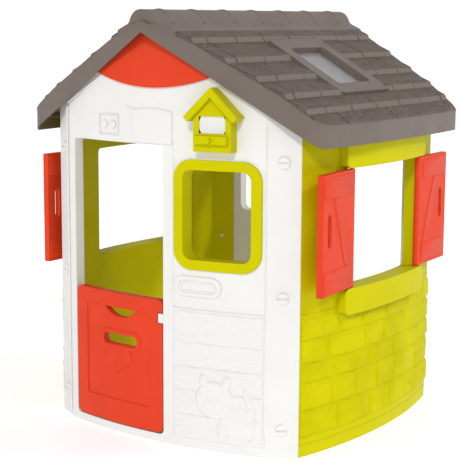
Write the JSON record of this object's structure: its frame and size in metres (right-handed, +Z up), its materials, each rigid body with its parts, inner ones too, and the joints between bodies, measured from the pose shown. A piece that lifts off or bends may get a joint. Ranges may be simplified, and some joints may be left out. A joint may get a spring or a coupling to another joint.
{
  "type": "plastic playhouse",
  "caption": "Plastic playhouse with bowed walls, a tiled gable roof with roof windows, an inward-opening half door, a framed front window and shuttered side windows.",
  "frame": {"origin": "on the ground in the middle of the house", "axes": "+Z up, front wall with the door faces -Y, side walls face +X and -X"},
  "size_m": [1.16, 1.194, 1.3499],
  "materials": {
    "white_plastic": "satin",
    "lime_plastic": "satin",
    "red_plastic": "satin",
    "roof_plastic": "matt",
    "clear_plastic": "frosted"
  },
  "bodies": {
    "house": {"front_wall": "white_plastic", "rear_wall": "white_plastic", "right_wall": "lime_plastic", "left_wall": "lime_plastic", "right_window_sill": "lime_plastic", "right_window_head": "lime_plastic", "left_window_sill": "lime_plastic", "left_window_head": "lime_plastic", "roof_right": "roof_plastic", "roof_left": "roof_plastic", "right_roof_pane": "clear_plastic", "left_roof_pane": "clear_plastic", "ridge_roll": "roof_plastic", "front_corner_screws": "white_plastic", "rear_corner_screws": "white_plastic", "right_roof_screws": "roof_plastic", "left_roof_screws": "roof_plastic", "front_gable_piece": "red_plastic", "rear_gable_piece": "red_plastic", "front_window_frame": "lime_plastic", "door_hinge_pins": "white_plastic", "door_catch": "white_plastic", "number_plate": "white_plastic", "name_plate": "white_plastic", "bird_house_body": "lime_plastic", "bird_house_roof": "lime_plastic", "bird_house_cover": "clear_plastic", "bird_house_perch": "lime_plastic"},
    "door": {"door_leaf": "red_plastic"},
    "right_front_leaf": {"right_front_shutter": "red_plastic"},
    "right_rear_leaf": {"right_rear_shutter": "red_plastic"},
    "left_front_leaf": {"left_front_shutter": "red_plastic"},
    "left_rear_leaf": {"left_rear_shutter": "red_plastic"}
  },
  "joints": [
    {"name": "door_hinge", "type": "hinge", "parent": "house", "child": "door", "pos_m": [-0.338, -0.45998, 0.235], "axis": [0, 0, 1], "range_deg": [0, 95]},
    {"name": "right_front_shutter_hinge", "type": "hinge", "parent": "house", "child": "right_front_leaf", "pos_m": [0.524, -0.224, 0.69], "axis": [0, 0, 1], "range_deg": [-8, 175]},
    {"name": "right_rear_shutter_hinge", "type": "hinge", "parent": "house", "child": "right_rear_leaf", "pos_m": [0.524, 0.224, 0.69], "axis": [0, 0, 1], "range_deg": [-183, 5]},
    {"name": "left_front_shutter_hinge", "type": "hinge", "parent": "house", "child": "left_front_leaf", "pos_m": [-0.524, -0.224, 0.69], "axis": [0, 0, 1], "range_deg": [-180, 5]},
    {"name": "left_rear_shutter_hinge", "type": "hinge", "parent": "house", "child": "left_rear_leaf", "pos_m": [-0.524, 0.224, 0.69], "axis": [0, 0, 1], "range_deg": [-5, 178]}
  ]
}
